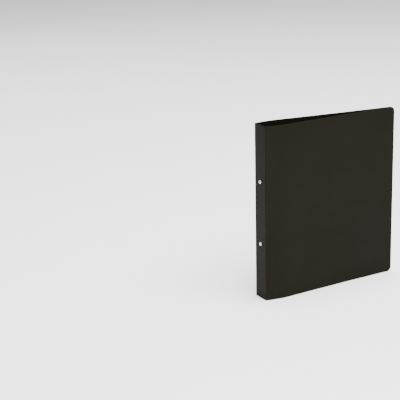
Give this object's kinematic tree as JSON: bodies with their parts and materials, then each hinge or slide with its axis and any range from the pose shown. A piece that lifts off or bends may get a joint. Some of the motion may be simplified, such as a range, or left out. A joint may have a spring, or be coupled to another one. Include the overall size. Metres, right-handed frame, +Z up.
{
  "type": "ring binder",
  "caption": "Slim two-ring A4 binder of matt black polypropylene sheet: bowed covers on living hinges and an O-ring mechanism riveted inside the spine.",
  "frame": {"origin": "middle of the spine panel's bottom edge, in the sheet's middle plane", "axes": "+Z up along the spine; +X from the spine to the fore edge; +Y towards the back cover"},
  "size_m": [0.288, 0.0438, 0.32],
  "materials": {
    "sheet": "matt embossed polypropylene, black",
    "crease": "thinned polypropylene, slightly glossier",
    "nickel_plate": "bright nickel-plated sheet steel",
    "nickel_wire": "bright nickel-plated wire",
    "rail_steel": "zinc-plated strip",
    "rivet": "bright nickel-plated"
  },
  "bodies": {
    "spine": {"spine_panel": "sheet", "front_living_hinge": "crease", "back_living_hinge": "crease", "mechanism_plate": "nickel_plate", "lower_rivet": "rivet", "upper_rivet": "rivet"},
    "front_cover": {"front_cover": "sheet"},
    "back_cover": {"back_cover": "sheet"},
    "front_rail": {"front_rail": "rail_steel", "lower_ring_front": "nickel_wire", "upper_ring_front": "nickel_wire"},
    "back_rail": {"back_rail": "rail_steel", "lower_ring_back": "nickel_wire", "upper_ring_back": "nickel_wire"}
  },
  "joints": [
    {"name": "front_cover_hinge", "type": "hinge", "parent": "spine", "child": "front_cover", "pos_m": [0, -0.0175, 0], "axis": [0, 0, -1], "range_deg": [0, 175]},
    {"name": "back_cover_hinge", "type": "hinge", "parent": "spine", "child": "back_cover", "pos_m": [0, 0.0175, 0], "axis": [0, 0, 1], "range_deg": [0, 175]},
    {"name": "front_rail_pivot", "type": "hinge", "parent": "spine", "child": "front_rail", "pos_m": [0.002, -0.009, 0.16], "axis": [0, 0, -1], "range_deg": [0, 11.5]},
    {"name": "back_rail_pivot", "type": "hinge", "parent": "spine", "child": "back_rail", "pos_m": [0.002, 0.009, 0.16], "axis": [0, 0, -1], "range_deg": [-11.5, 0]}
  ],
  "couplings": [
    {"joint": "back_rail_pivot", "follows": "front_rail_pivot", "ratio": -1}
  ]
}
